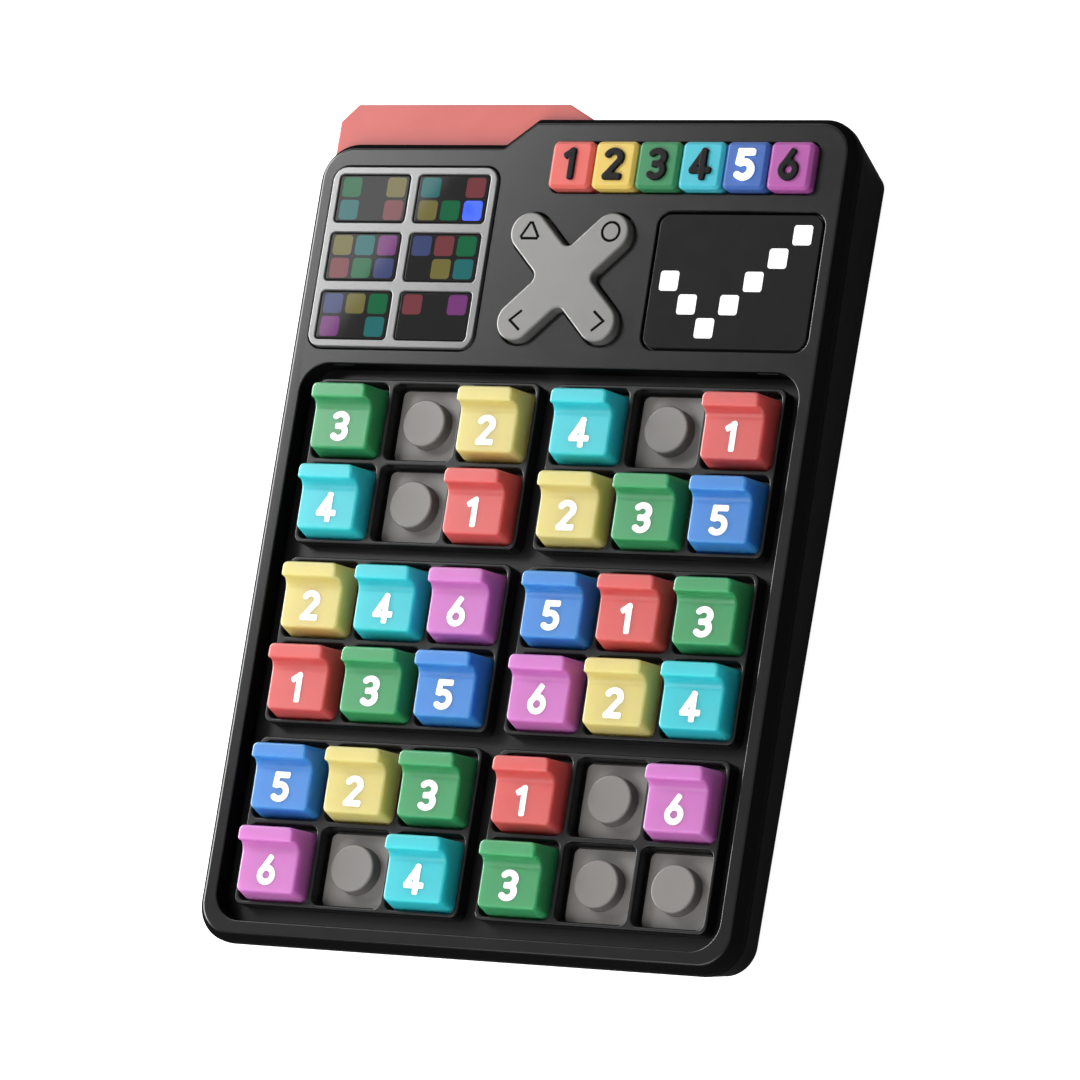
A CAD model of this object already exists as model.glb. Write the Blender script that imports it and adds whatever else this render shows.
"""Looks of the electronic sudoku board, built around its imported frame."""
import logging
import math
from collections.abc import Callable, Iterator
from contextlib import contextmanager
from dataclasses import dataclass, field, replace
from enum import Enum

import bpy
from mathutils import Matrix, Vector


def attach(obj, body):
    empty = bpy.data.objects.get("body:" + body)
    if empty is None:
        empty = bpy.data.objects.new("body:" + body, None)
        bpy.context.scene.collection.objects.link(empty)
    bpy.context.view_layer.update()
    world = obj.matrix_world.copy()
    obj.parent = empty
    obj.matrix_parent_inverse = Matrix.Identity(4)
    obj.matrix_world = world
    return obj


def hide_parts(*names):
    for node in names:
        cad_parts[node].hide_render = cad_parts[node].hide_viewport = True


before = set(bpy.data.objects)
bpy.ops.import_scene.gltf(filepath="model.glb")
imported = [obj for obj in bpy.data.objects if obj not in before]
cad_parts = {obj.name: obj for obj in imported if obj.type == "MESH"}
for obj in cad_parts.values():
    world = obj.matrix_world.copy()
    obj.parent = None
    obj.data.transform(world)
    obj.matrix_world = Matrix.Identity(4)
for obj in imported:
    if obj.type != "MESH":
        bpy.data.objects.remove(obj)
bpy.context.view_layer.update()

LOG = logging.getLogger("sudoku_board")
MM = 0.001
Point = tuple[float, float]
Spot = tuple[float, float, float]
Solid = bpy.types.Object
Socket = bpy.types.NodeSocket
Inputs = dict[str | int, object]
EdgeTest = Callable[[Vector, Vector], bool]


class Hue(Enum):
    """The six digit colours: the record's slot, then the tones of the tile, the key and the dim lamp."""

    RED = ("digit_red", "#d85e5b", "#e26c64", "#6f393d")
    YELLOW = ("digit_yellow", "#ddce80", "#e7c868", "#6b6538")
    GREEN = ("digit_green", "#3e9d63", "#3e8b5c", "#1b5f3d")
    CYAN = ("digit_cyan", "#36c9d4", "#4cc2d3", "#256364")
    BLUE = ("digit_blue", "#3f8ad5", "#476eb7", "#3c456c")
    MAGENTA = ("digit_magenta", "#ce78c3", "#b75fab", "#6e3870")

    def __init__(self, slot: str, tone: str, key_tone: str, dim_tone: str) -> None:
        """Keep the slot's name and the tones, which are web colours."""
        self.slot, self.tone, self.key_tone, self.dim_tone = slot, tone, key_tone, dim_tone


class Cut(Enum):
    """Ways in which one solid acts on another."""

    AWAY = "DIFFERENCE"
    JOIN = "UNION"


HUES: list[Hue] = list(Hue)
PUZZLE: tuple[str, ...] = ("302401", "401235", "246513", "135624", "523106", "604300")
LAMPS: tuple[str, ...] = ("3.24.1", "4.1235", "246513", "135.24", "5231.6", "6.4...")


def paint(code: str) -> tuple[float, ...]:
    """Turn a web colour into linear light.

    Args:
        code: colour written as a hash and six hex digits.

    Returns:
        Red, green and blue as linear values, and a full alpha.
    """
    parts = [int(code[i:i + 2], 16) / 255 for i in (1, 3, 5)]
    light = (p / 12.92 if p <= 0.04045 else ((p + 0.055) / 1.055) ** 2.4 for p in parts)
    return (*light, 1.0)


def upright(least: float) -> EdgeTest:
    """Test for edges that climb by more than a least height."""
    return lambda p, q: abs(p.z - q.z) > least


def topmost(height: float, slack: float = 0.01) -> EdgeTest:
    """Test for edges that lie at a height, within a slack, or over it."""
    return lambda p, q: min(p.z, q.z) > height - slack


@dataclass(frozen=True)
class FacePlane:
    """The tilted plane of the face, with its origin at the middle of the play grid."""

    tilt: float = math.radians(4)
    seat_y: float = -26.1672
    seat_z: float = 17.5301

    def matrix(self, at: Spot = (0, 0, 0)) -> Matrix:
        """Matrix from millimetres on the face, moved by a spot, to metres in the row frame.

        Args:
            at: spot on the face in millimetres.

        Returns:
            The placing matrix.
        """
        seat = Matrix.Translation((0, self.seat_y * MM, self.seat_z * MM))
        turn = Matrix.Rotation(self.tilt, 4, "X")
        return seat @ turn @ Matrix.Scale(MM, 4) @ Matrix.Translation(at)

    def spot(self, at: Spot) -> Vector:
        """Place of a spot on the face, in metres."""
        return self.matrix() @ Vector(at)

    def way(self, along: Spot) -> Vector:
        """Direction on the face, turned to the row frame."""
        return (Matrix.Rotation(self.tilt, 3, "X") @ Vector(along)).normalized()

    def stand(self, at: Spot, right: Spot, up: Spot, back: Spot) -> Matrix:
        """Matrix of a camera or lamp, from its spot and its X, Y and Z axes on the face."""
        axes = Matrix((self.way(right), self.way(up), self.way(back))).transposed()
        return Matrix.Translation(self.spot(at)) @ axes.to_4x4()


FACE = FacePlane()


# Modelling steps that every sub-assembly shares, in millimetres until a piece is placed
MERGE_NEAR = 0.0005
FLAT_BEND = 0.5
MELT_FACTOR = 0.5
MELT_ROUNDS = 6


def pick(obj: Solid | None) -> None:
    """Leave edit mode and select one object alone, or none.

    Args:
        obj: the object, if any.
    """
    active = bpy.context.view_layer.objects.active
    if active is not None and active.mode != "OBJECT":
        bpy.ops.object.mode_set(mode="OBJECT")
    bpy.ops.object.select_all(action="DESELECT")
    if obj is not None:
        obj.select_set(True)
        bpy.context.view_layer.objects.active = obj


def settle(obj: Solid) -> None:
    """Put an object's place, turn and scale into its mesh."""
    pick(obj)
    bpy.ops.object.transform_apply(location=True, rotation=True, scale=True)


def place(obj: Solid, matrix: Matrix) -> None:
    """Put a piece where a matrix says, with its place in its mesh."""
    obj.matrix_world = matrix
    settle(obj)


def block(name: str, size: Spot, centre: Spot, turn: float = 0.0) -> Solid:
    """Add a block.

    Args:
        name: name of the object.
        size: its width, length and height.
        centre: its middle.
        turn: its turn about Z in radians.

    Returns:
        The block.
    """
    pick(None)
    bpy.ops.mesh.primitive_cube_add(size=1.0, location=centre, rotation=(0, 0, turn))
    obj = bpy.context.object
    obj.name = name
    obj.scale = size
    settle(obj)
    return obj


def rod(name: str, radius: float, low: float, high: float, at: Point = (0, 0),
        sides: int = 48) -> Solid:
    """Add an upright rod.

    Args:
        name: name of the object.
        radius: its radius.
        low: height of its foot.
        high: height of its top.
        at: its axis.
        sides: number of its flat sides.

    Returns:
        The rod.
    """
    pick(None)
    bpy.ops.mesh.primitive_cylinder_add(vertices=sides, radius=radius, depth=high - low,
                                        location=(at[0], at[1], (low + high) / 2))
    obj = bpy.context.object
    obj.name = name
    settle(obj)
    return obj


@contextmanager
def editing(obj: Solid, test: EdgeTest | None = None) -> Iterator[None]:
    """Hold an object in edit mode with all of it, or only some edges, selected.

    Args:
        obj: the object to edit.
        test: says of an edge's two ends whether it is wanted, if not all are.
    """
    pick(obj)
    bpy.ops.object.mode_set(mode="EDIT")
    if test is None:
        bpy.ops.mesh.select_all(action="SELECT")
    else:
        bpy.ops.mesh.select_mode(type="EDGE")
        bpy.ops.mesh.select_all(action="DESELECT")
        bpy.ops.object.mode_set(mode="OBJECT")
        points = obj.data.vertices
        for edge in obj.data.edges:
            edge.select = test(points[edge.vertices[0]].co, points[edge.vertices[1]].co)
        bpy.ops.object.mode_set(mode="EDIT")
    yield
    bpy.ops.object.mode_set(mode="OBJECT")


def bevel(obj: Solid, test: EdgeTest, width: float, steps: int) -> None:
    """Round those edges that pass a test, from a width beside them and in a number of steps."""
    with editing(obj, test):
        bpy.ops.mesh.bevel(offset=width, offset_type="OFFSET", segments=steps, profile=0.5,
                           affect="EDGES", clamp_overlap=False)


def cut_off(obj: Solid, at: Spot, normal: Spot) -> None:
    """Cut away what lies on a plane's outer side and close the cut."""
    with editing(obj):
        bpy.ops.mesh.bisect(plane_co=at, plane_no=normal, use_fill=True, clear_outer=True)


def merge(obj: Solid, near: float) -> None:
    """Merge points that meet and make flat faces whole again.

    Args:
        obj: the solid.
        near: distance within which points are merged.
    """
    with editing(obj):
        bpy.ops.mesh.remove_doubles(threshold=near)
        bpy.ops.mesh.dissolve_limited(angle_limit=math.radians(FLAT_BEND))


def modify(obj: Solid, kind: str, **settings: object) -> None:
    """Put a modifier on an object and apply it.

    Args:
        obj: the object to shape.
        kind: the modifier's type.
        settings: its properties.
    """
    change = obj.modifiers.new(kind.lower(), kind)
    for key, value in settings.items():
        setattr(change, key, value)
    pick(obj)
    bpy.ops.object.modifier_apply(modifier=change.name)


def combine(obj: Solid, tool: Solid, way: Cut) -> None:
    """Cut a solid by another, or join the two, and use the other up."""
    modify(obj, "BOOLEAN", operation=way.value, object=tool, solver="EXACT")
    drop(tool)


def soften(obj: Solid, width: float, steps: int, angle: float = 30.0) -> None:
    """Round every edge of a solid that bends by more than an angle in degrees."""
    modify(obj, "BEVEL", width=width, segments=steps, limit_method="ANGLE",
           angle_limit=math.radians(angle), use_clamp_overlap=False)


def melt(obj: Solid, step: float) -> None:
    """Round a small solid all over, as a soft moulding is.

    Args:
        obj: the solid.
        step: size of its new faces.
    """
    modify(obj, "REMESH", mode="VOXEL", voxel_size=step)
    modify(obj, "SMOOTH", factor=MELT_FACTOR, iterations=MELT_ROUNDS)
    bpy.ops.object.shade_smooth()


def smooth(obj: Solid, angle: float = 35.0) -> None:
    """Shade a finished solid so that its flats stay flat.

    Args:
        obj: the solid.
        angle: sharpest bend, in degrees, that is shaded as a curve.
    """
    with editing(obj):
        bpy.ops.mesh.normals_make_consistent(inside=False)
    bpy.ops.object.shade_smooth_by_angle(angle=math.radians(angle))
    modify(obj, "WEIGHTED_NORMAL", keep_sharp=True)


def duplicate(obj: Solid, name: str, at: Matrix | None = None) -> Solid:
    """Copy an object with a mesh of its own.

    Args:
        obj: the object to copy.
        name: name of the copy.
        at: where the copy is placed, if it is moved.

    Returns:
        The copy.
    """
    twin = obj.copy()
    twin.data = obj.data.copy()
    twin.name = name
    bpy.context.scene.collection.objects.link(twin)
    if at is not None:
        place(twin, at)
    return twin


def drop(obj: Solid) -> None:
    """Remove an object that has been used up."""
    bpy.data.objects.remove(obj, do_unlink=True)


def from_node(node: str, name: str) -> Solid:
    """Take a merged copy of a CAD node, in millimetres on the face, to be softened.

    Args:
        node: name of the CAD node.
        name: name of the copy.

    Returns:
        The copy, with its flat faces whole again.
    """
    obj = duplicate(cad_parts[node], name)
    obj.parent = None
    for key in list(obj.keys()):
        del obj[key]
    obj.data.materials.clear()
    place(obj, FACE.matrix().inverted())
    bpy.ops.mesh.customdata_custom_splitnormals_clear()
    merge(obj, MERGE_NEAR)
    return obj


def hand_over(obj: Solid, finish: "Finish", body: str, slot: str, *nodes: str) -> None:
    """Dress a finished piece and let it ride on its body.

    Args:
        obj: the piece.
        finish: its finish.
        body: the body that it rides on.
        slot: the record's slot of its finish.
        nodes: the CAD nodes that it stands for.
    """
    obj.data.materials.clear()
    obj.data.materials.append(finish.material())
    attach(obj, body)
    if nodes:
        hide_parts(*nodes)
    LOG.info("%s: %d faces on %s", obj.name, len(obj.data.polygons), body)


class NodeSheet:
    """A short way to lay out the nodes of one tree."""

    def __init__(self, tree: bpy.types.NodeTree) -> None:
        """Keep the tree."""
        self.tree = tree

    def add(self, kind: str, inputs: Inputs | None = None, **settings: object) -> bpy.types.Node:
        """Add a node.

        Args:
            kind: its type.
            inputs: its inputs, as for fill.
            settings: its properties.

        Returns:
            The node.
        """
        node = self.tree.nodes.new(kind)
        for key, value in settings.items():
            setattr(node, key, value)
        self.fill(node, inputs or {})
        return node

    def fill(self, node: bpy.types.Node, inputs: Inputs) -> None:
        """Set some inputs of a node, or link them.

        Args:
            node: the node.
            inputs: for each input, its value or the socket that feeds it.
        """
        for key, value in inputs.items():
            if isinstance(value, Socket):
                self.tree.links.new(value, node.inputs[key])
            else:
                node.inputs[key].default_value = value

    def math(self, operation: str, *terms: object) -> Socket:
        """Result of a sum of values or sockets."""
        return self.add("ShaderNodeMath", dict(enumerate(terms)), operation=operation).outputs[0]

    def noise(self, where: Socket, scale: object, detail: float = 2.0) -> Socket:
        """Value of a noise at some coordinates, whose scale may be a socket."""
        inputs = {"Vector": where, "Scale": scale, "Detail": detail}
        return self.add("ShaderNodeTexNoise", inputs).outputs["Fac"]


class SurfaceGroup:
    """The shared effect of a moulded surface: slow tone swing, uneven gloss and a fine grain."""

    NAME = "moulded_surface"
    TONE_SCALE = 55.0
    TONE_DETAIL = 3.0
    GLOSS_SCALE = 240.0
    MIDDLE = 0.5
    GAIN = 4.0
    GIVEN = {"Vector": "Vector", "Colour": "Color", "Swing": "Float", "Rough": "Float",
             "Rough swing": "Float", "Grain": "Float"}
    MADE = {"Colour": "Color", "Rough": "Float", "Height": "Float"}

    @classmethod
    def get(cls) -> bpy.types.NodeTree:
        """The group, built at its first use."""
        return bpy.data.node_groups.get(cls.NAME) or cls.build()

    @classmethod
    def build(cls) -> bpy.types.NodeTree:
        """Build the group.

        Returns:
            The node group.
        """
        tree = bpy.data.node_groups.new(cls.NAME, "ShaderNodeTree")
        for way, sockets in (("INPUT", cls.GIVEN), ("OUTPUT", cls.MADE)):
            for name, kind in sockets.items():
                tree.interface.new_socket(name, in_out=way, socket_type="NodeSocket" + kind)
        sheet = NodeSheet(tree)
        given = sheet.add("NodeGroupInput").outputs
        slow = sheet.noise(given["Vector"], cls.TONE_SCALE, cls.TONE_DETAIL)
        patchy = sheet.noise(given["Vector"], cls.GLOSS_SCALE)
        fine = sheet.noise(given["Vector"], given["Grain"])
        lean = sheet.math("MULTIPLY", sheet.math("SUBTRACT", slow, cls.MIDDLE), given["Swing"])
        gain = sheet.math("MULTIPLY_ADD", lean, cls.GAIN, 1.0)
        tone = sheet.add("ShaderNodeVectorMath", {0: given["Colour"], "Scale": gain}, operation="SCALE")
        spread = sheet.math("MULTIPLY", sheet.math("SUBTRACT", patchy, cls.MIDDLE), given["Rough swing"])
        rough = sheet.math("MULTIPLY_ADD", spread, cls.GAIN, given["Rough"])
        sheet.add("NodeGroupOutput", {"Colour": tone.outputs[0], "Rough": rough, "Height": fine})
        return tree


@dataclass(frozen=True)
class Finish:
    """A finish on one material, coloured and grained by the moulded surface effect."""

    name: str
    colour: str
    rough: float = 0.42
    swing: float = 0.05
    rough_swing: float = 0.05
    grain: float = 3200.0
    grain_depth: float = 0.03
    grain_strength: float = 0.35
    specular: float = 0.5
    metallic: float = 0.0
    coat: float = 0.0
    coat_rough: float = 0.05
    glow: float = 0.0
    scatter: float = 0.0
    scatter_depth: float = 2.0

    def material(self) -> bpy.types.Material:
        """The finish's material, built at its first use."""
        return bpy.data.materials.get(self.name) or self.build()

    def build(self) -> bpy.types.Material:
        """Build the material.

        Returns:
            The material.
        """
        material = bpy.data.materials.new(self.name)
        material.use_nodes = True
        sheet = NodeSheet(material.node_tree)
        where = sheet.add("ShaderNodeTexCoord").outputs["Object"]
        surface = sheet.add("ShaderNodeGroup", node_tree=SurfaceGroup.get())
        sheet.fill(surface, {"Vector": where, "Colour": paint(self.colour), "Swing": self.swing,
                             "Rough": self.rough, "Rough swing": self.rough_swing, "Grain": self.grain})
        bump = sheet.add("ShaderNodeBump", {
            "Strength": self.grain_strength, "Distance": self.grain_depth * MM,
            "Height": surface.outputs["Height"]})
        shader = material.node_tree.nodes["Principled BSDF"]
        sheet.fill(shader, {
            "Base Color": self.pattern(sheet, where, surface), "Roughness": surface.outputs["Rough"],
            "Normal": bump.outputs["Normal"], "Specular IOR Level": self.specular,
            "Metallic": self.metallic, "Coat Weight": self.coat, "Coat Roughness": self.coat_rough,
            "Subsurface Weight": self.scatter, "Subsurface Scale": self.scatter_depth * MM,
            "Subsurface Radius": (1.0, 1.0, 1.0)})
        if self.glow:
            sheet.fill(shader, {"Emission Color": surface.outputs["Colour"],
                                "Emission Strength": self.glow})
        return material

    def pattern(self, sheet: NodeSheet, where: Socket, surface: bpy.types.Node) -> Socket:
        """Colour that reaches the shader: here the surface's own."""
        return surface.outputs["Colour"]


@dataclass(frozen=True)
class BandedFinish(Finish):
    """A finish with bands of a second colour, as on a battery's sleeve or a board's tracks."""

    second: str = "#202022"
    band_scale: float = 40.0
    band_edge: float = 0.6

    def pattern(self, sheet: NodeSheet, where: Socket, surface: bpy.types.Node) -> Socket:
        """Mix the second colour in by bands along X.

        Args:
            sheet: the material's nodes.
            where: coordinates on the object.
            surface: the moulded surface effect.

        Returns:
            The mixed colour's socket.
        """
        inputs = {"Vector": where, "Scale": self.band_scale, "Distortion": 0.0}
        wave = sheet.add("ShaderNodeTexWave", inputs, wave_type="BANDS", bands_direction="X")
        mask = sheet.math("GREATER_THAN", wave.outputs["Fac"], self.band_edge)
        colours = {"Factor": mask, "A": surface.outputs["Colour"], "B": paint(self.second)}
        return sheet.add("ShaderNodeMix", colours, data_type="RGBA").outputs["Result"]


SHELL = Finish("case_charcoal", "#0c0c0d", rough=0.24, rough_swing=0.012, specular=0.2, grain_depth=0.02)
REAR = Finish("rear_charcoal", "#111112", rough=0.6, rough_swing=0.03, specular=0.0015, grain_depth=0.05)
TRAY = Finish("tray_black", "#131314", rough=0.32, rough_swing=0.02, specular=0.19)
ACCENT = Finish("tab_red", "#c85953", rough=0.42, specular=0.22)
PEG = Finish("peg_grey", "#767370", rough=0.48, specular=0.4, swing=0.03)
FRAME = Finish("frame_silver", "#5a5a5b", rough=0.22, rough_swing=0.02, specular=0.6)
LENS = Finish("lens_smoke", "#252424", rough=0.04, rough_swing=0.005, specular=0.058, grain_depth=0.002)
SCREEN = Finish("display_smoke", "#232222", rough=0.2, rough_swing=0.02, specular=0.06,
                grain_depth=0.002)
PAD = Finish("pad_grey", "#737270", rough=0.33, specular=0.42, grain_depth=0.04)
INK = Finish("sign_black", "#060607", rough=0.6, specular=0.02)
WHITE = Finish("digit_white", "#fafaf8", rough=0.5, swing=0.01, specular=0.3, glow=0.12)
KEY_INK = Finish("key_black", "#151314", rough=0.5, specular=0.06)
KEY_LIT = Finish("key_lit", "#ffffff", rough=0.5, swing=0.01, specular=0.2, glow=0.7)
DOT_LIT = Finish("dot_lit", "#f4f3f2", rough=0.5, swing=0.02, specular=0.2, glow=0.35)
BRIGHT_BLUE = Finish("bright_blue", "#1d47d0", rough=0.1, swing=0.03, specular=0.3, glow=0.75,
                     grain_depth=0.002)
STEEL = Finish("plated_steel", "#c9cbce", rough=0.28, metallic=1.0, grain=900.0)
RUBBER = Finish("foot_rubber", "#1b1b1c", rough=0.75, specular=0.2, grain_depth=0.06)
SOFT = Finish("membrane_soft", "#a5a39d", rough=0.7, specular=0.2)
EPOXY = Finish("lamp_epoxy", "#e9e6d8", rough=0.25, coat=0.5)
CONE = Finish("speaker_dark", "#3c3c40", rough=0.5, metallic=0.3)
CIRCUIT = BandedFinish("board_green", "#1f5a34", rough=0.35, second="#2c7446", band_scale=90.0,
                       band_edge=0.72)
SLEEVE = BandedFinish("battery_sleeve", "#2a2a2c", rough=0.3, second="#b98a45", band_scale=6.0,
                      band_edge=0.75, coat=0.4)


def tile_finish(hue: Hue) -> Finish:
    """Finish of a tile of one digit colour."""
    return Finish(f"satin_{hue.name.lower()}", hue.tone, rough=0.36, swing=0.02, rough_swing=0.02,
                  specular=0.34, grain_depth=0.01, scatter=1.0, scatter_depth=5.0)


def key_finish(hue: Hue) -> Finish:
    """Finish of a key of one digit colour."""
    return Finish(f"key_{hue.name.lower()}", hue.key_tone, rough=0.42, swing=0.02, rough_swing=0.02,
                  specular=0.15, grain_depth=0.01, scatter=0.3)


def dim_lamp(hue: Hue) -> Finish:
    """Finish of a preview cell that glows faintly through the smoked lens."""
    return Finish(f"dim_{hue.name.lower()}", hue.dim_tone, rough=0.04, swing=0.04, rough_swing=0.005,
                  specular=0.07, glow=0.04, grain_depth=0.002)


@dataclass(frozen=True)
class SoftPiece:
    """A piece that is a CAD node with its edges softened."""

    node: str
    name: str
    finish: Finish
    slot: str
    width: float
    steps: int
    body: str = "board"
    flank: Finish | None = None
    flank_top: float = -0.3
    flank_lean: float = 0.9

    def build(self) -> None:
        """Soften the node's copy, place it and dress it, with its flanks apart if they differ."""
        piece = from_node(self.node, self.name)
        soften(piece, self.width, self.steps)
        smooth(piece)
        flanks = [f.index for f in piece.data.polygons
                  if f.center.z < self.flank_top and f.normal.z < self.flank_lean]
        place(piece, FACE.matrix())
        hand_over(piece, self.finish, self.body, self.slot, self.node)
        if self.flank is not None:
            piece.data.materials.append(self.flank.material())
            for i in flanks:
                piece.data.polygons[i].material_index = 1


@dataclass(frozen=True)
class Pen:
    """Sizes of a sign in millimetres: its height, its strokes' width, its underside and its top."""

    height: float
    width: float
    low: float
    high: float
    shift: float = 0.025
    near: float = 0.01

    @property
    def thick(self) -> float:
        """Thickness of the sign."""
        return self.high - self.low

    @property
    def middle(self) -> float:
        """Height of the sign's middle layer."""
        return (self.low + self.high) / 2

    def write(self, name: str, strokes: "list[Stroke]", step: float = 0.0) -> Solid:
        """Build a sign that lies in the XY plane about the origin, as one closed solid.

        Strokes that meet differ a little in thickness, so that no two faces lie in one plane.

        Args:
            name: name of the object.
            strokes: the sign's strokes.
            step: size of the faces by which its edges are melted round, or none.

        Returns:
            The sign.
        """
        sign = strokes[0].build(self)
        sign.name = name
        for i, stroke in enumerate(strokes[1:]):
            shift = self.shift * (i % 2 + 1)
            part = stroke.build(replace(self, low=self.low - shift, high=self.high + shift))
            if step:
                pick(sign)
                part.select_set(True)
                bpy.ops.object.join()
            else:
                combine(sign, part, Cut.JOIN)
        if step:
            melt(sign, step)
        else:
            merge(sign, self.near)
            smooth(sign)
        return sign


@dataclass
class Stroke:
    """One straight or curved stroke of a sign, in shares of the sign's height."""

    start: Point = (0, 0)
    end: Point = (0, 0)
    centre: Point | None = None
    radius: float = 0.0
    begin: float = 0.0
    sweep: float = 0.0
    stretch: float = 1.0
    corner_share: float = 0.28
    spin_step: float = 9.0
    tip_sides: int = 24

    def build(self, pen: Pen) -> Solid:
        """Build the stroke as a solid.

        Args:
            pen: sizes of the sign.

        Returns:
            The stroke's solid.
        """
        if self.centre is None:
            return self.bar(pen)
        if abs(self.sweep) >= 360:
            return self.ring(pen)
        return self.bow(pen)

    def bar(self, pen: Pen) -> Solid:
        """Build a straight bar with soft corners.

        Args:
            pen: sizes of the sign.

        Returns:
            The bar.
        """
        a = Vector(self.start) * pen.height
        b = Vector(self.end) * pen.height
        way = b - a
        middle = (a + b) / 2
        obj = block("bar", (way.length + pen.width, pen.width, pen.thick),
                    (middle.x, middle.y, pen.middle), math.atan2(way.y, way.x))
        bevel(obj, upright(pen.thick / 2), pen.width * self.corner_share, 3)
        return obj

    def ring(self, pen: Pen) -> Solid:
        """Build a full ring.

        Args:
            pen: sizes of the sign.

        Returns:
            The ring.
        """
        at = (self.centre[0] * pen.height, self.centre[1] * pen.height)
        radius = self.radius * pen.height
        obj = rod("ring", radius + pen.width / 2, pen.low, pen.high, at)
        hole = rod("hole", radius - pen.width / 2, pen.low - 1, pen.high + 1, at)
        combine(obj, hole, Cut.AWAY)
        return obj

    def bow(self, pen: Pen) -> Solid:
        """Build a part of a ring, spun from its cross-section and rounded at its tips.

        Args:
            pen: sizes of the sign.

        Returns:
            The bow.
        """
        pick(None)
        radius = self.radius * pen.height
        bpy.ops.mesh.primitive_plane_add(size=1.0, location=(radius, 0, pen.middle),
                                         rotation=(math.radians(90), 0, 0))
        obj = bpy.context.object
        obj.scale = (pen.width, pen.thick, 1)
        settle(obj)
        with editing(obj):
            bpy.ops.mesh.spin(steps=max(6, int(abs(self.sweep) / self.spin_step)),
                              angle=-math.radians(self.sweep), center=(0, 0, 0), axis=(0, 0, 1))
            bpy.ops.mesh.select_all(action="SELECT")
            bpy.ops.mesh.remove_doubles(threshold=MERGE_NEAR)
            bpy.ops.mesh.normals_make_consistent(inside=False)
        obj.rotation_euler = (0, 0, math.radians(self.begin))
        settle(obj)
        for angle in (self.begin, self.begin + self.sweep):
            at = Matrix.Rotation(math.radians(angle), 2) @ Vector((radius, 0))
            tip = rod("tip", pen.width / 2, pen.low, pen.high, at, self.tip_sides)
            combine(obj, tip, Cut.JOIN)
        obj.scale = (self.stretch, 1, 1)
        obj.location = (self.centre[0] * pen.height, self.centre[1] * pen.height, 0)
        settle(obj)
        return obj


def line(x0: float, y0: float, x1: float, y1: float) -> Stroke:
    """A straight stroke between two points."""
    return Stroke(start=(x0, y0), end=(x1, y1))


def bow(x: float, y: float, radius: float, begin: float, sweep: float, stretch: float = 1.0) -> Stroke:
    """A curved stroke about a centre, from an angle through a sweep in degrees, stretched along X."""
    return Stroke(centre=(x, y), radius=radius, begin=begin, sweep=sweep, stretch=stretch)


NUMERALS: dict[int, list[Stroke]] = {
    1: [line(0.06, -0.39, 0.06, 0.39), line(0.06, 0.39, -0.13, 0.27)],
    2: [bow(0.0, 0.185, 0.21, 150, -180, 1.12), line(0.185, 0.07, -0.2, -0.385),
        line(-0.2, -0.395, 0.23, -0.395)],
    3: [bow(0.0, 0.2, 0.198, 140, -215, 1.14), line(-0.06, 0.0, 0.06, 0.0),
        bow(0.0, -0.19, 0.208, 75, -215, 1.12)],
    4: [line(0.1, 0.39, -0.24, -0.17), line(-0.24, -0.19, 0.28, -0.19), line(0.1, 0.39, 0.1, -0.39)],
    5: [line(-0.15, 0.39, 0.21, 0.39), line(-0.15, 0.39, -0.18, 0.07),
        bow(-0.01, -0.155, 0.235, 120, -255, 1.06)],
    6: [bow(0.0, -0.16, 0.23, 0, 360), line(-0.195, -0.06, 0.09, 0.39)],
}


@dataclass
class PlayGrid:
    """The six trays and the pegs."""

    rim_round: float = 0.38
    peg_round: float = 0.16

    def build(self) -> None:
        """Soften the trays and the pegs."""
        SoftPiece("cell_trays", "tray_walls", TRAY, "black", self.rim_round, 4).build()
        SoftPiece("pegs", "peg_heads", PEG, "pegs", self.peg_round, 2).build()


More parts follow.
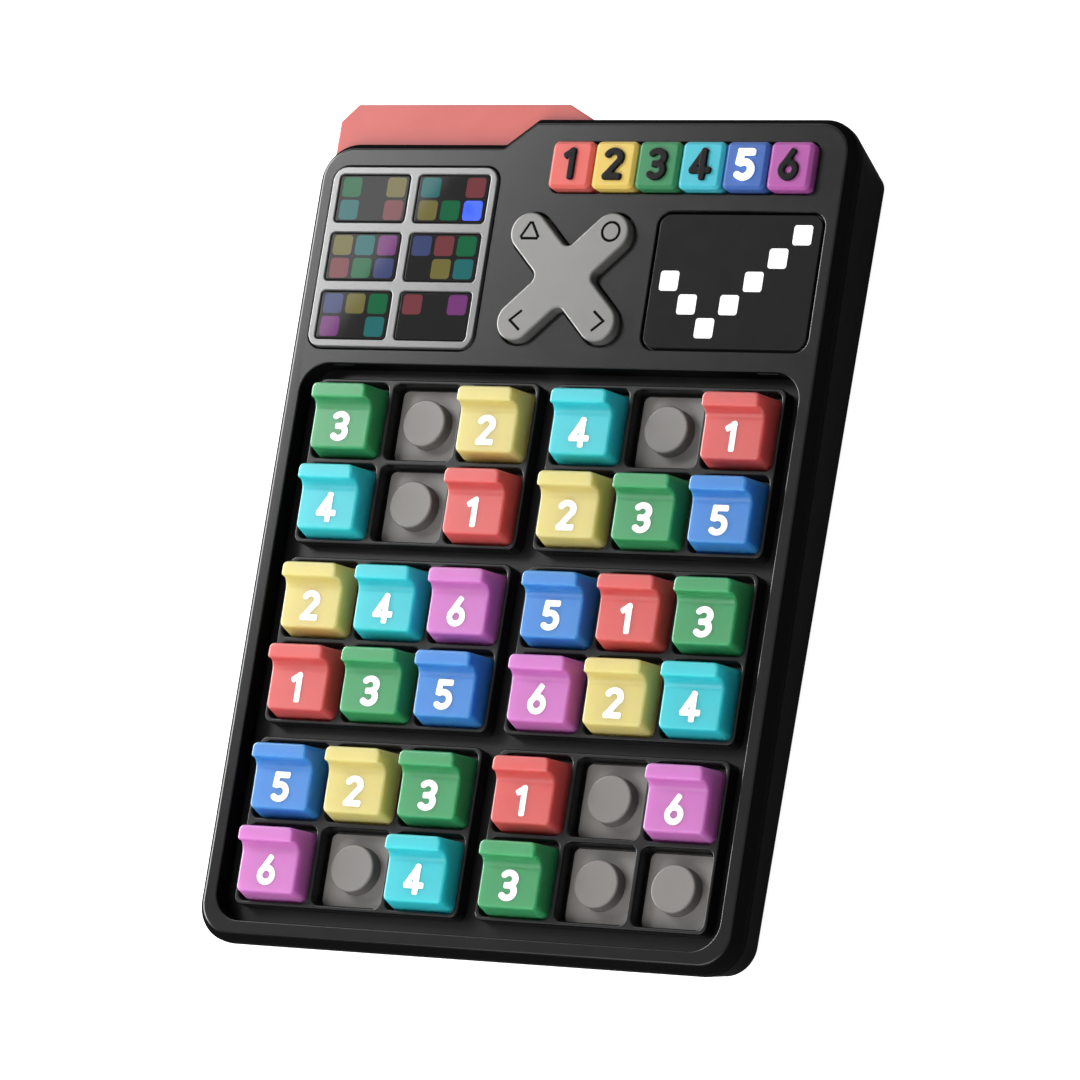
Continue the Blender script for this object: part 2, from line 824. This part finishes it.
@dataclass
class NumberTile:
    """The lift-off number tiles, modelled once and copied to their pegs."""

    foot_w: float = 14.8
    foot_front: float = 7.65
    foot_back: float = 6.95
    height: float = 10.0
    front_turn: float = 1.2
    side_lean: float = 0.12
    back_lean: float = 0.08
    front_lean: float = 0.18
    face_front: float = 6.64
    face_low: float = 6.8
    slope: float = 0.01
    lip_front: float = 3.15
    sweep: float = 2.0
    hollow_reach: float = 12.0
    hollow_over: float = 4.0
    slack: float = 0.1
    corner: float = 1.1
    corner_from: float = 5.9
    edge: float = 0.45
    edge_bend: float = 22.0
    curve_bend: float = 38.0
    socket_r: float = 5.2
    socket_h: float = 3.3
    seat: float = -4.8
    digit_h: float = 6.3
    digit_stroke: float = 1.28
    digit_x: float = -0.12
    digit_y: float = -2.15
    digit_root: float = 0.1
    digit_rise: float = 0.05
    columns: tuple[float, ...] = (-44.675, -27.675, -10.675, 10.675, 27.675, 44.675)
    rows: tuple[float, ...] = (46.0, 29.0, 8.5, -8.5, -29.0, -46.0)

    def face_height(self, y: float) -> float:
        """Height of the sloping face at a distance from the tile's centre."""
        return self.face_low + self.slope * (y + self.face_front)

    def hollow(self) -> Solid:
        """Solid that is cut out in front of the lip.

        Returns:
            The cutting solid.
        """
        reach = self.hollow_reach
        top = self.height + self.hollow_over
        back = self.face_height(self.lip_front)
        obj = block("hollow", (2 * reach, self.lip_front + reach, top - back),
                    (0, (self.lip_front - reach) / 2, (top + back) / 2))
        low = back + self.slack
        with editing(obj, lambda p, q: max(p.z, q.z) < low and max(p.y, q.y) < 0):
            bpy.ops.transform.translate(value=(0, 0, self.face_height(-reach) - back))
        far = self.lip_front - self.slack
        bevel(obj, lambda p, q: min(p.y, q.y) > far and max(p.z, q.z) < low, self.sweep, 9)
        return obj

    def master(self) -> Solid:
        """Model one tile with its foot at the origin.

        Returns:
            The tile.
        """
        tile = block("tile_master", (self.foot_w, self.foot_front + self.foot_back, self.height),
                     (0, (self.foot_back - self.foot_front) / 2, self.height / 2))
        for side in (-1, 1):
            cut_off(tile, (side * self.foot_w / 2, 0, 0), (side, 0, self.side_lean))
        cut_off(tile, (0, self.foot_back, 0), (0, 1, self.back_lean))
        cut_off(tile, (0, -self.foot_front, self.front_turn), (0, -1, self.front_lean))
        combine(tile, self.hollow(), Cut.AWAY)
        far = self.corner_from
        bevel(tile, lambda p, q: upright(1)(p, q) and min(abs(v) for v in (*p.xy, *q.xy)) > far,
              self.corner, 5)
        soften(tile, self.edge, 3, self.edge_bend)
        combine(tile, rod("socket", self.socket_r, -1, self.socket_h), Cut.AWAY)
        smooth(tile, self.curve_bend)
        return tile

    def digit(self, number: int) -> Solid:
        """Model one printed digit where it lies on a tile.

        Args:
            number: the digit.

        Returns:
            The digit's solid, on a tile whose foot is at the origin.
        """
        pen = Pen(self.digit_h, self.digit_stroke, -self.digit_root, self.digit_rise)
        sign = pen.write(f"digit_{number}", NUMERALS[number])
        sign.location = (self.digit_x, self.digit_y, self.face_height(self.digit_y))
        sign.rotation_euler = (math.atan(self.slope), 0, 0)
        settle(sign)
        return sign

    def build(self) -> None:
        """Copy the tile and its digit to every cell that holds one."""
        tile = self.master()
        digits = {n: self.digit(n) for n in NUMERALS}
        for r, row in enumerate(PUZZLE):
            for c, mark in enumerate(row):
                number = int(mark)
                if not number:
                    continue
                node = f"tile_row{r + 1}_col{c + 1}"
                hue = HUES[number - 1]
                at = FACE.matrix((self.columns[c], self.rows[r], self.seat))
                cap = duplicate(tile, f"tile_cap_r{r + 1}c{c + 1}", at)
                hand_over(cap, tile_finish(hue), node, hue.slot, node)
                sign = duplicate(digits[number], f"tile_digit_r{r + 1}c{c + 1}", at)
                hand_over(sign, WHITE, node, hue.slot)
        for master in (tile, *digits.values()):
            drop(master)


@dataclass
class NumberKeys:
    """The row of six number keys with raised numerals."""

    width: float = 9.57
    length: float = 10.0
    top: float = 2.3
    foot: float = -3.0
    corner: float = 1.3
    edge: float = 0.72
    edge_round: float = 0.16
    flange: float = 0.9
    flange_top: float = -2.2
    stub_r: float = 1.2
    stub_low: float = -3.3
    stub_sides: int = 24
    pitch: float = 9.87
    middle: Point = (23.815, 99.55)
    digit_h: float = 6.7
    digit_stroke: float = 1.4
    digit_root: float = 0.5
    digit_rise: float = 0.6
    digit_melt: float = 0.11
    lit: int = 5

    def master(self) -> Solid:
        """Model one key about the origin.

        Returns:
            The key.
        """
        key = block("key_master", (self.width, self.length, self.top - self.foot),
                    (0, 0, (self.top + self.foot) / 2))
        bevel(key, upright(1), self.corner, 6)
        bevel(key, topmost(self.top), self.edge, 1)
        soften(key, self.edge_round, 2)
        plate = block("plate", (self.width, self.length + 2 * self.flange, self.flange_top - self.foot),
                      (0, 0, (self.flange_top + self.foot) / 2))
        combine(key, plate, Cut.JOIN)
        stub = rod("stub", self.stub_r, self.stub_low, self.flange_top, sides=self.stub_sides)
        combine(key, stub, Cut.JOIN)
        smooth(key)
        return key

    def build(self) -> None:
        """Copy the key six times and set its numerals on top."""
        master = self.master()
        pen = Pen(self.digit_h, self.digit_stroke, self.top - self.digit_root,
                  self.top + self.digit_rise)
        for i, hue in enumerate(HUES):
            number = i + 1
            aside = (i - (len(HUES) - 1) / 2) * self.pitch
            at = FACE.matrix((self.middle[0] + aside, self.middle[1], 0))
            key = duplicate(master, f"key_cap_{number}", at)
            hand_over(key, key_finish(hue), f"key_{number}", hue.slot, f"number_key_{number}")
            sign = pen.write(f"key_digit_{number}", NUMERALS[number], self.digit_melt)
            place(sign, at)
            hand_over(sign, KEY_LIT if number == self.lit else KEY_INK, f"key_{number}", hue.slot)
        drop(master)


@dataclass
class DirectionPad:
    """The rocking X with its four engraved signs."""

    middle: Point = (1.075, 76.075)
    top: float = 2.0
    reach: float = 13.5
    edge: float = 0.45
    sign_at: float = 9.5
    sign_h: float = 4.3
    sign_stroke: float = 0.58
    groove: float = 0.3
    groove_over: float = 1.0
    ink_drop: float = 0.12
    signs: dict[str, tuple[Point, list[Stroke]]] = field(default_factory=lambda: {
        "triangle": ((-1, 1), [line(-0.25, -0.37, 0.53, -0.37), line(0.53, -0.37, 0.59, -0.27),
                               line(0.59, -0.27, 0.2, 0.39), line(0.2, 0.39, 0.08, 0.39),
                               line(0.08, 0.39, -0.31, -0.27), line(-0.31, -0.27, -0.25, -0.37)]),
        "ring": ((1, 1), [bow(0, 0, 0.45, 0, 360)]),
        "left": ((-1, -1), [line(0.32, 0.5, -0.21, 0.06), line(-0.21, 0.06, 0.32, -0.38)]),
        "right": ((1, -1), [line(-0.19, 0.52, 0.34, 0.08), line(0.34, 0.08, -0.19, -0.36)]),
    })

    def spot(self, side: Point, distance: float) -> Spot:
        """Spot on the face at a distance along each axis from the middle of the pad."""
        return (self.middle[0] + side[0] * distance, self.middle[1] + side[1] * distance, 0)

    def sign(self, name: str, high: float) -> Solid:
        """Model one sign on its arm, from the bottom of its groove up.

        Args:
            name: the sign's name.
            high: height of its top.

        Returns:
            The sign's solid.
        """
        side, strokes = self.signs[name]
        pen = Pen(self.sign_h, self.sign_stroke, self.top - self.groove, high)
        solid = pen.write(f"pad_sign_{name}", strokes)
        solid.location = self.spot(side, self.sign_at)
        settle(solid)
        return solid

    def build(self) -> None:
        """Trim the hidden flange, round the top of the X, cut its signs and fill them with ink."""
        pad = from_node("direction_pad", "cross_pad")
        for x, y in ((1, 0), (-1, 0), (0, 1), (0, -1)):
            cut_off(pad, self.spot((x, y), self.reach), (x, y, 0))
        bevel(pad, topmost(self.top), self.edge, 5)
        for name in self.signs:
            combine(pad, self.sign(name, self.top + self.groove_over), Cut.AWAY)
            ink = self.sign(name, self.top - self.ink_drop)
            place(ink, FACE.matrix())
            hand_over(ink, INK, "pad", "pad")
        smooth(pad)
        place(pad, FACE.matrix())
        hand_over(pad, PAD, "pad", "pad", "direction_pad")


@dataclass
class LitCell:
    """A thin rounded plate that shows a lit cell or dot on a lens."""

    size: Point
    corner: float
    rise: float
    sink: float

    def build(self) -> Solid:
        """Model the plate about the origin.

        Returns:
            The plate, to be copied.
        """
        master = block("cell_master", (*self.size, self.rise + self.sink),
                       (0, 0, (self.rise - self.sink) / 2))
        bevel(master, upright(self.sink / 2), self.corner, 5)
        smooth(master)
        return master


@dataclass
class PreviewDisplay:
    """The six small windows with their frame, smoked lens and faintly lit cells."""

    middle: Point = (-37.475, 80.15)
    window_step: Point = (18.65, 12.4)
    cell_step: Point = (5.25, 4.85)
    cell: LitCell = field(default_factory=lambda: LitCell((4.42, 4.22), 0.75, 0.02, 0.15))
    lens_top: float = 0.45
    frame_round: float = 0.25
    lens_round: float = 0.3
    bright: tuple[int, int] = (1, 5)

    def build(self) -> None:
        """Soften the frame and the lens and light the cells that the puzzle shows."""
        SoftPiece("preview_frame", "window_frame", FRAME, "frame", self.frame_round, 4).build()
        SoftPiece("preview_lens", "window_lens", LENS, "lens", self.lens_round, 4).build()
        master = self.cell.build()
        for r, row in enumerate(LAMPS):
            for c, mark in enumerate(row):
                if mark != ".":
                    self.light(master, r, c, int(mark))
        drop(master)

    def light(self, master: Solid, r: int, c: int, number: int) -> None:
        """Set one lit cell on the lens, whose windows have two rows of three cells.

        Args:
            master: the cell to copy.
            r: its row among all windows.
            c: its column among all windows.
            number: the digit whose colour it shows.
        """
        x = self.middle[0] + (c // 3 - 0.5) * self.window_step[0] + (c % 3 - 1) * self.cell_step[0]
        y = self.middle[1] + (1 - r // 2) * self.window_step[1] + (0.5 - r % 2) * self.cell_step[1]
        cell = duplicate(master, f"preview_light_r{r + 1}c{c + 1}", FACE.matrix((x, y, self.lens_top)))
        finish = BRIGHT_BLUE if (r, c) == self.bright else dim_lamp(HUES[number - 1])
        hand_over(cell, finish, "board", "lens")


@dataclass
class DotDisplay:
    """The flush display lens with a lit check mark on its seven by five dots."""

    middle: Point = (38.475, 76.075)
    step: Point = (4.7, 4.85)
    centre: tuple[int, int] = (3, 2)
    dot: LitCell = field(default_factory=lambda: LitCell((4.15, 4.15), 0.6, 0.03, 0.2))
    lens_round: float = 0.25
    lit: tuple[tuple[int, int], ...] = ((0, 2), (1, 1), (2, 0), (3, 1), (4, 2), (5, 3), (6, 4))

    def build(self) -> None:
        """Soften the lens and set the lit dots on it."""
        SoftPiece("display_lens", "dot_lens", SCREEN, "lens", self.lens_round, 4).build()
        master = self.dot.build()
        for column, row in self.lit:
            x = self.middle[0] + (column - self.centre[0]) * self.step[0]
            y = self.middle[1] + (row - self.centre[1]) * self.step[1]
            dot = duplicate(master, f"check_dot_{column + 1}", FACE.matrix((x, y, 0)))
            hand_over(dot, DOT_LIT, "board", "lens")
        drop(master)


@dataclass
class Case:
    """The front and rear shells, the red tab, the battery door and the feet."""

    front_round: float = 0.3
    rear_round: float = 0.12
    foot_round: float = 0.4
    tab_round: float = 0.35

    def build(self) -> None:
        """Soften the edges of the shells and what is set in them."""
        for piece in (
                SoftPiece("front_shell", "front_bezel", SHELL, "shell", self.front_round, 3, flank=REAR),
                SoftPiece("rear_cover", "rear_case", REAR, "shell", self.rear_round, 3),
                SoftPiece("accent_tab", "red_tab", ACCENT, "accent", self.tab_round, 3),
                SoftPiece("battery_door", "door_panel", REAR, "shell", self.front_round, 3, "door"),
                SoftPiece("rubber_feet", "soft_feet", RUBBER, "feet", self.foot_round, 3)):
            piece.build()


@dataclass
class InnerWorks:
    """The parts that keep their CAD shape and get a finish of their own."""

    finishes: dict[str, Finish] = field(default_factory=lambda: {
        "grid_insert": TRAY, "peg_sheet": PEG, "main_board": CIRCUIT, "panel_board": CIRCUIT,
        "preview_light_grid": TRAY, "display_light_grid": TRAY, "panel_lamps": EPOXY,
        "button_membrane": SOFT, "pad_pivot": SOFT, "batteries": SLEEVE, "battery_contacts": STEEL,
        "door_screw": STEEL, "case_screws": STEEL, "speaker": CONE,
    })

    def build(self) -> None:
        """Give each node its finish."""
        for node, finish in self.finishes.items():
            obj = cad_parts[node]
            obj.data.materials.clear()
            obj.data.materials.append(finish.material())
            LOG.info("%s keeps its shape, finished as %s", node, finish.name)


@dataclass
class Studio:
    """Camera, floor, world and lamps. Spots and axes of the camera and the lamps are on the face."""

    lens: float = 223.085
    sensor: float = 36.0
    eye: Spot = (650.805, -257.102, 1125.704)
    right: Spot = (0.87292557, 0.15185914, -0.46361595)
    up: Spot = (-0.0312587, 0.96577586, 0.25748764)
    back: Spot = (0.48685094, -0.21027551, 0.84779736)
    ambient: float = 0.28
    floor_size: float = 8.0
    floor_drop: float = 0.0001
    floor_tone: float = 0.82
    floor_rough: float = 0.9
    floor_glow: float = 0.9
    flag_tone: float = 0.01
    flag_height: float = 0.3
    flag_length: float = 0.9
    flag_thick: float = 0.004
    flag_right: Point = (0.34, 0.05)
    flag_front: Point = (-0.2, -0.5)
    gloss_from: Spot = (-42.2, 79.8, 0.45)
    gloss_along: Spot = (0.531, 0.847, 0.0)
    card_distance: float = 620.0
    card_size: Point = (0.18, 0.26)
    card_level: float = 14.5
    fill_from: Spot = (-120.0, -480.0, 640.0)
    fill_size: Point = (0.5, 0.5)
    fill_level: float = 6.2
    rim_from: Spot = (-600.0, 130.0, 175.0)
    rim_size: Point = (0.7, 0.31)
    rim_level: float = 26.0

    def camera(self) -> None:
        """Set the camera where the photograph was taken from."""
        data = bpy.data.cameras.new("view")
        data.lens = self.lens
        data.sensor_width = self.sensor
        camera = bpy.data.objects.new("view", data)
        bpy.context.scene.collection.objects.link(camera)
        camera.matrix_world = FACE.stand(self.eye, self.right, self.up, self.back)
        bpy.context.scene.camera = camera

    def seen_rays(self, sheet: NodeSheet) -> Socket:
        """Mask of the rays that show the white background.

        Args:
            sheet: the tree's nodes.

        Returns:
            The mask's socket.
        """
        rays = sheet.add("ShaderNodeLightPath").outputs
        clear = sheet.math("MAXIMUM", rays["Is Glossy Ray"], rays["Is Transmission Ray"])
        return sheet.math("MAXIMUM", rays["Is Camera Ray"], clear)

    def world(self) -> None:
        """Light the room softly and show it white behind the board."""
        world = bpy.data.worlds.new("studio")
        bpy.context.scene.world = world
        world.use_nodes = True
        sheet = NodeSheet(world.node_tree)
        glow = sheet.math("MULTIPLY_ADD", self.seen_rays(sheet), 1 - self.ambient, self.ambient)
        sheet.fill(world.node_tree.nodes["Background"], {"Color": (1, 1, 1, 1), "Strength": glow})

    def matt(self, name: str, tone: float, rough: float) -> bpy.types.Material:
        """Build a plain grey material without any sheen.

        Args:
            name: name of the material.
            tone: its linear grey.
            rough: its roughness.

        Returns:
            The material.
        """
        material = bpy.data.materials.new(name)
        material.use_nodes = True
        NodeSheet(material.node_tree).fill(material.node_tree.nodes["Principled BSDF"], {
            "Base Color": (tone, tone, tone, 1), "Roughness": rough, "Specular IOR Level": 0.0})
        return material

    def floor(self) -> None:
        """Lay a pale floor that keeps the board's shadow and lets the back be seen from below."""
        pick(None)
        bpy.ops.mesh.primitive_plane_add(size=self.floor_size, location=(0, 0, -self.floor_drop))
        floor = bpy.context.object
        floor.name = "studio_floor"
        material = self.matt("floor_white", self.floor_tone, self.floor_rough)
        sheet = NodeSheet(material.node_tree)
        below = sheet.add("ShaderNodeNewGeometry").outputs["Backfacing"]
        sheet.fill(material.node_tree.nodes["Principled BSDF"], {
            "Emission Color": (1, 1, 1, 1), "Alpha": sheet.math("SUBTRACT", 1.0, below),
            "Emission Strength": sheet.math("MULTIPLY", self.seen_rays(sheet), self.floor_glow)})
        floor.data.materials.append(material)

    def flags(self) -> None:
        """Stand dark screens beside the board, out of the picture, so that its edges stay dark."""
        material = self.matt("flag_black", self.flag_tone, 1.0)
        for name, size, at in (("flag_right", (self.flag_thick, self.flag_length), self.flag_right),
                               ("flag_front", (self.flag_length, self.flag_thick), self.flag_front)):
            flag = block(name, (*size, self.flag_height), (*at, self.flag_height / 2))
            flag.data.materials.append(material)
            flag.visible_camera = False
            flag.visible_diffuse = False
            flag.visible_shadow = False

    def hang(self, name: str, matrix: Matrix, size: Point, level: float) -> Solid:
        """Hang a soft lamp.

        Args:
            name: name of the lamp.
            matrix: its place and turn.
            size: its width and height in metres.
            level: how bright its own surface is.

        Returns:
            The lamp.
        """
        data = bpy.data.lights.new(name, "AREA")
        data.shape = "RECTANGLE"
        data.size, data.size_y = size
        data.energy = level * math.pi * size[0] * size[1]
        lamp = bpy.data.objects.new(name, data)
        bpy.context.scene.collection.objects.link(lamp)
        lamp.matrix_world = matrix
        return lamp

    def aimed(self, at: Spot) -> Matrix:
        """Matrix of a lamp at a spot that looks at the middle of the face."""
        turn = FACE.way(at).to_track_quat("Z", "Y").to_matrix().to_4x4()
        return Matrix.Translation(FACE.spot(at)) @ turn

    def card(self) -> None:
        """Hang the soft box whose edge shows as the slanting gloss on the preview lens."""
        toward = Vector(self.eye) - Vector(self.gloss_from)
        toward.x, toward.y = -toward.x, -toward.y
        toward.normalize()
        along = Vector(self.gloss_along)
        along = (along - toward * along.dot(toward)).normalized()
        right = along.cross(toward)
        aside = right if right.x < 0 else -right
        at = Vector(self.gloss_from) + toward * self.card_distance + aside * self.card_size[0] / 2 / MM
        self.hang("soft_box", FACE.stand(at, right, along, toward), self.card_size, self.card_level)

    def build(self) -> None:
        """Set up the whole studio. The rim lamp only shows in glossy edges."""
        bpy.context.scene.view_settings.view_transform = "Standard"
        self.camera()
        self.world()
        self.floor()
        self.flags()
        self.card()
        self.hang("front_fill", self.aimed(self.fill_from), self.fill_size, self.fill_level)
        rim = self.hang("left_rim", self.aimed(self.rim_from), self.rim_size, self.rim_level)
        rim.visible_diffuse = False


def main() -> None:
    """Build the studio and every sub-assembly, then note both boxes."""
    logging.basicConfig(level=logging.INFO, format="%(name)s: %(message)s")
    for part in (Studio(), Case(), PlayGrid(), NumberTile(), NumberKeys(), DirectionPad(),
                 PreviewDisplay(), DotDisplay(), InnerWorks()):
        part.build()
        LOG.info("%s done", type(part).__name__)


if __name__ == "__main__":
    main()
